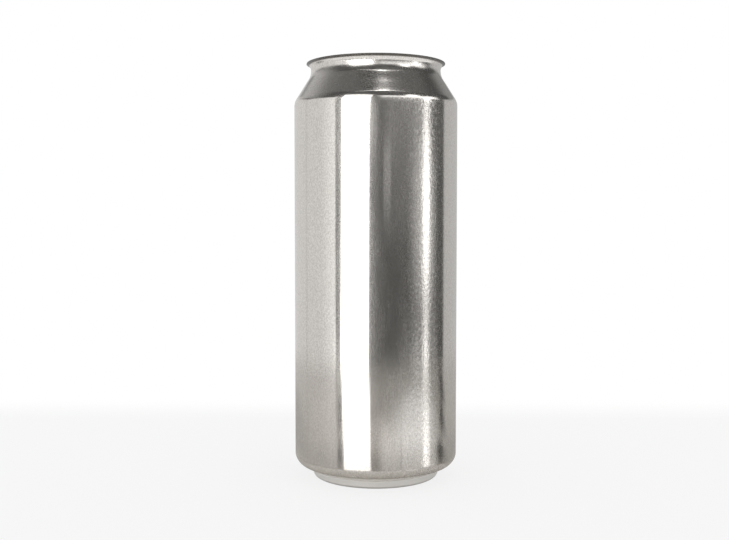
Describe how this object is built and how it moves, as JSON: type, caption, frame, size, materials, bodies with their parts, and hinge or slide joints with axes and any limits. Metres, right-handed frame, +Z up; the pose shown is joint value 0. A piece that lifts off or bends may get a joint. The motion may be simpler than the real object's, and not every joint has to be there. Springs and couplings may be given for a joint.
{
  "type": "aluminum beverage can",
  "caption": "Tall empty aluminum beverage can body, open at its necked and flanged top, with a straight bright wall, a rounded heel and a domed base on a narrow stand ring.",
  "frame": {"origin": "centre of the stand ring's contact plane, under the can", "axes": "+Z up along the can's axis; the can is the same all round, so +X and +Y are free"},
  "size_m": [0.0662, 0.0662, 0.168],
  "materials": {
    "ironed_aluminium": "drawn and ironed to a mirror, with fine upright ironing lines"
  },
  "bodies": {
    "root": {"can_body": "ironed_aluminium"}
  },
  "joints": []
}
